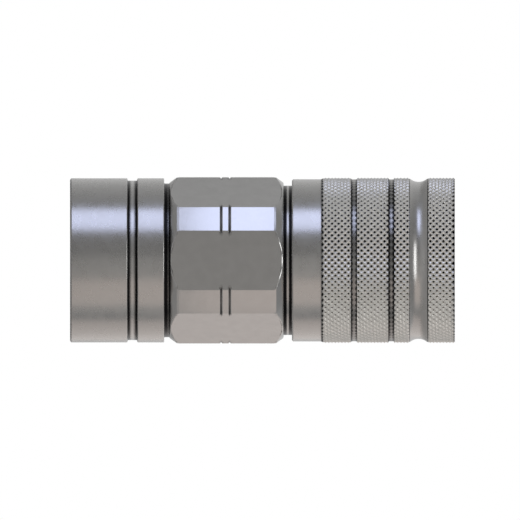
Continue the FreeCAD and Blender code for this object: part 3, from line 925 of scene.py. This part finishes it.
class COUPLER_OT_locking_sleeve(Operator):
    """Build the locking sleeve with its diamond knurl"""

    bl_idname = "coupler.locking_sleeve"
    bl_label = "Locking sleeve"

    def execute(self, context):
        settings = context.scene.coupler
        sizes = settings.sleeve
        looks = settings.finish
        turns = even_turns(sizes.diamonds_round * KNURL_STEPS)
        heights = []
        rings = []
        for radius, height, knurled in sleeve_rows(sizes):
            heights.append(height)
            if knurled:
                rings.append([knurl_point(sizes, turn, height) for turn in turns])
            else:
                rings.append([around(radius, turn, height) for turn in turns])
        piece = skin("locking_sleeve_knurled", rings, knurled_faces(sizes, heights))
        # the grip grooves get a darker painted shade than the rest of the plating
        groove_painted_shade = plated_steel(looks, "plated_steel_groove", dark=0.955)
        finishes = (plated_steel(looks), knurl_plating(looks), groove_painted_shade)
        stand_for(piece, "locking_sleeve", *finishes)
        for face in piece.data.polygons:
            face.material_index = sleeve_finish(sizes, face.center)
        return {"FINISHED"}


class COUPLER_OT_turned_parts(Operator):
    """Finish the body, valve and ring parts that keep their CAD shape"""

    bl_idname = "coupler.turned_parts"
    bl_label = "Turned parts"

    def execute(self, context):
        looks = context.scene.coupler.finish
        # painted shade here also falls where other parts are close, as in the gap at the collar
        paint(plated_steel(looks, "plated_steel_body", local=False), "main_body")
        bare = turned_steel(looks)
        paint(bare, "dust_ring", "valve_guide", "valve_sleeve", "valve_stem")
        paint(bare, "stem_spider", "stem_nut", "sleeve_thrust_washer")
        return {"FINISHED"}


def coil(name, low, high, radius, wire, turns):
    """A coil spring of round wire between two heights."""
    rings = []
    total = round(turns * COIL_STEPS)
    for step in range(total + 1):
        turn = FULL_TURN * step / COIL_STEPS
        height = low + wire / 2 + (high - low - wire) * step / total
        ring = []
        for tilt in even_turns(WIRE_SIDES):
            reach = radius + wire / 2 * math.cos(tilt)
            ring.append(around(reach, turn, height + wire / 2 * math.sin(tilt)))
        rings.append(ring)
    return skin(name, rings, closed=False)


class COUPLER_OT_springs(Operator):
    """Wind the three springs"""

    bl_idname = "coupler.springs"
    bl_label = "Springs"

    def execute(self, context):
        settings = context.scene.coupler
        sizes = settings.springs
        looks = settings.finish
        finish = wire_finish("spring_wire", looks.spring, looks.spring_rough)
        for node, body, turns, wire in (
            ("sleeve_spring", "washer", sizes.sleeve_turns, sizes.sleeve_wire),
            ("dust_ring_spring", "dust_ring", sizes.dust_turns, sizes.dust_wire),
            ("valve_spring", "valve", sizes.valve_turns, sizes.valve_wire),
        ):
            low, high = BOXES[node]
            piece = coil(node + "_coil", low.z, high.z, high.x - wire / 2, wire, turns)
            piece.data.materials.append(finish)
            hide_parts(node)
            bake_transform(piece)
        return {"FINISHED"}


class COUPLER_OT_locking_parts(Operator):
    """Finish the balls and the snap ring"""

    bl_idname = "coupler.locking_parts"
    bl_label = "Locking parts"

    def execute(self, context):
        looks = context.scene.coupler.finish
        balls = [name for name in NODES if name.startswith("locking_ball")]
        paint(wire_finish("ball_polish", looks.ball, looks.ball_rough), *balls)
        snap_ring = wire_finish("snap_ring_wire", looks.spring, looks.spring_rough)
        paint(snap_ring, "sleeve_retaining_ring")
        return {"FINISHED"}


class COUPLER_OT_seals(Operator):
    """Finish the seals and their backing rings"""

    bl_idname = "coupler.seals"
    bl_label = "Seals"

    def execute(self, context):
        looks = context.scene.coupler.finish
        rubber = moulded_finish("seal_rubber_black", looks.rubber, looks.rubber_rough)
        paint(rubber, "nose_seal", "guide_o_ring", "valve_o_ring", "stem_seal")
        plastic = moulded_finish("backing_plastic", looks.plastic, looks.plastic_rough)
        paint(plastic, "nose_backup_ring", "guide_backup_ring", "valve_backup_ring")
        return {"FINISHED"}


def sheet(name, middle, across, up, material):
    """A flat stage sheet that reaches as far as two arms on both sides of its middle."""
    mesh = bpy.data.meshes.new(name)
    lower = [middle - across - up, middle + across - up]
    upper = [middle + across + up, middle - across + up]
    mesh.from_pydata(lower + upper, [], [(0, 1, 2, 3)])
    piece = bpy.data.objects.new(name, mesh)
    bpy.context.scene.collection.objects.link(piece)
    mesh.materials.append(material)


def backdrop_paper(base):
    """White paper: plain to the light, and as white as written to the camera and in metal."""
    paper = Finish("backdrop_paper")
    light = paper.add("ShaderNodeLightPath")
    glow = paper.add("ShaderNodeEmission")
    glow.inputs["Color"].default_value = [*base, 1.0]
    glow.inputs["Strength"].default_value = 1.0
    shown = light.outputs["Is Camera Ray"]
    for ray in ("Is Glossy Ray", "Is Transmission Ray"):
        either = paper.add("ShaderNodeMath", operation="MAXIMUM")
        paper.join(shown, either.inputs[0])
        paper.join(light.outputs[ray], either.inputs[1])
        shown = either.outputs["Value"]
    mix = paper.add("ShaderNodeMixShader")
    paper.join(shown, mix.inputs["Fac"])
    paper.join(paper.shader.outputs["BSDF"], mix.inputs[1])
    paper.join(glow.outputs["Emission"], mix.inputs[2])
    paper.join(mix.outputs["Shader"], paper.tree.nodes["Material Output"].inputs["Surface"])
    paper.shader.inputs["Base Color"].default_value = [*base, 1.0]
    paper.shader.inputs["Roughness"].default_value = 1.0
    return paper.material


def softbox(name, distance, turn, rise, size, tint, watts):
    """A soft light round the coupler.

    The turn is from the camera towards the top of the picture, and the rise is along the axis.
    """
    lamp = bpy.data.lights.new(name, "AREA")
    lamp.shape = "RECTANGLE"
    lamp.size, lamp.size_y = size
    lamp.color = tint
    lamp.energy = watts
    box = bpy.data.objects.new(name, lamp)
    level = math.cos(rise)
    towards = Vector((-math.sin(turn) * level, -math.cos(turn) * level, math.sin(rise)))
    middle = Vector((0, 0, (CAD_BOX[0].z + CAD_BOX[1].z) / 2))
    box.location = middle + distance * towards
    box.rotation_euler = towards.to_track_quat("Z", "Y").to_euler()
    box.visible_camera = False
    bpy.context.scene.collection.objects.link(box)


def soft_lights(stage):
    """The soft lights round the coupler."""
    for lamp in ("key", "fill", "wash", "rim", "strip"):
        parts = [f"{lamp}_{part}" for part in ("turn", "rise", "size", "tint", "power")]
        softbox(lamp + "_softbox", stage.light_distance, *[getattr(stage, part) for part in parts])


def room_light(stage):
    """A grey room that is lighter behind the coupler than in front of it."""
    room = bpy.data.worlds.new("room")
    room.use_nodes = True
    tree = room.node_tree
    look = tree.nodes.new("ShaderNodeTexCoord")
    apart = tree.nodes.new("ShaderNodeSeparateXYZ")
    tree.links.new(look.outputs["Generated"], apart.inputs["Vector"])
    depth = tree.nodes.new("ShaderNodeMapRange")
    depth.inputs["From Min"].default_value = -1.0
    tree.links.new(apart.outputs["Y"], depth.inputs["Value"])
    ramp = tree.nodes.new("ShaderNodeValToRGB")
    tree.links.new(depth.outputs["Result"], ramp.inputs["Fac"])
    greys = ramp.color_ramp.elements
    greys[0].color = [*stage.room_front, 1.0]
    greys[1].color = [*stage.room_back, 1.0]
    greys.new(stage.room_side_depth).color = [*stage.room_side, 1.0]
    greys.new(stage.room_far_depth).color = [*stage.room_far, 1.0]
    tree.links.new(ramp.outputs["Color"], tree.nodes["Background"].inputs["Color"])
    return room


def side_camera(stage):
    """A camera with no perspective that looks along +Y, with the axis across the picture."""
    lens = bpy.data.cameras.new("side_camera")
    lens.type = "ORTHO"
    lens.ortho_scale = stage.picture_width
    camera = bpy.data.objects.new("side_camera", lens)
    right = Vector((0, 0, 1))
    up = Vector((-1, 0, 0))
    back = Vector((0, -1, 0))
    place = Vector((stage.picture_shift, -stage.camera_distance, stage.picture_height))
    turned = Matrix((right, up, back)).transposed()
    camera.matrix_world = Matrix.Translation(place) @ turned.to_4x4()
    bpy.context.scene.collection.objects.link(camera)
    bpy.context.scene.camera = camera


class COUPLER_OT_stage(Operator):
    """Set up the floor, the backdrop, the soft lights and the camera"""

    bl_idname = "coupler.stage"
    bl_label = "Stage"

    def execute(self, context):
        scene = context.scene
        stage = scene.coupler.stage
        along_x, along_y, along_z = Matrix.Identity(3)
        floor = moulded_finish("floor_gloss", stage.floor, stage.floor_rough)
        reach = stage.floor_reach
        sheet("floor", Vector((0, 0, 0)), reach * along_x, reach * along_y, floor)
        paper = backdrop_paper(stage.backdrop)
        reach = stage.backdrop_reach
        middle = stage.backdrop_distance * along_y + stage.picture_height * along_z
        sheet("backdrop", middle, reach * along_x, reach * along_z, paper)
        scene.world = room_light(stage)
        soft_lights(stage)
        side_camera(stage)
        scene.view_settings.view_transform = "Standard"
        return {"FINISHED"}


class COUPLER_PT_sidebar(Panel):
    """Lists the steps that dress the coupler"""

    bl_idname = "COUPLER_PT_sidebar"
    bl_label = "Quick coupler"
    bl_space_type = "VIEW_3D"
    bl_region_type = "UI"
    bl_category = "Coupler"

    def draw(self, context):
        for step in STEPS:
            self.layout.operator(step.bl_idname)


GROUPS = (
    CouplerAdapterSizes,
    CouplerSleeveSizes,
    CouplerSpringSizes,
    CouplerFinishes,
    CouplerStage,
    CouplerSettings,
)
STEPS = (
    COUPLER_OT_rear_adapter,
    COUPLER_OT_locking_sleeve,
    COUPLER_OT_turned_parts,
    COUPLER_OT_springs,
    COUPLER_OT_locking_parts,
    COUPLER_OT_seals,
    COUPLER_OT_stage,
)
CLASSES = (*GROUPS, *STEPS, COUPLER_PT_sidebar)


def register():
    """Make the settings, steps and panel known."""
    for kind in CLASSES:
        bpy.utils.register_class(kind)
    bpy.types.Scene.coupler = group(CouplerSettings, "Coupler", "Coupler settings")


def unregister():
    """Take the settings, steps and panel away again."""
    del bpy.types.Scene.coupler
    for kind in reversed(CLASSES):
        bpy.utils.unregister_class(kind)


def main():
    """Dress the coupler step by step."""
    register()
    bpy.ops.coupler.rear_adapter()
    bpy.ops.coupler.locking_sleeve()
    bpy.ops.coupler.turned_parts()
    bpy.ops.coupler.springs()
    bpy.ops.coupler.locking_parts()
    bpy.ops.coupler.seals()
    bpy.ops.coupler.stage()


if __name__ == "__main__":
    main()
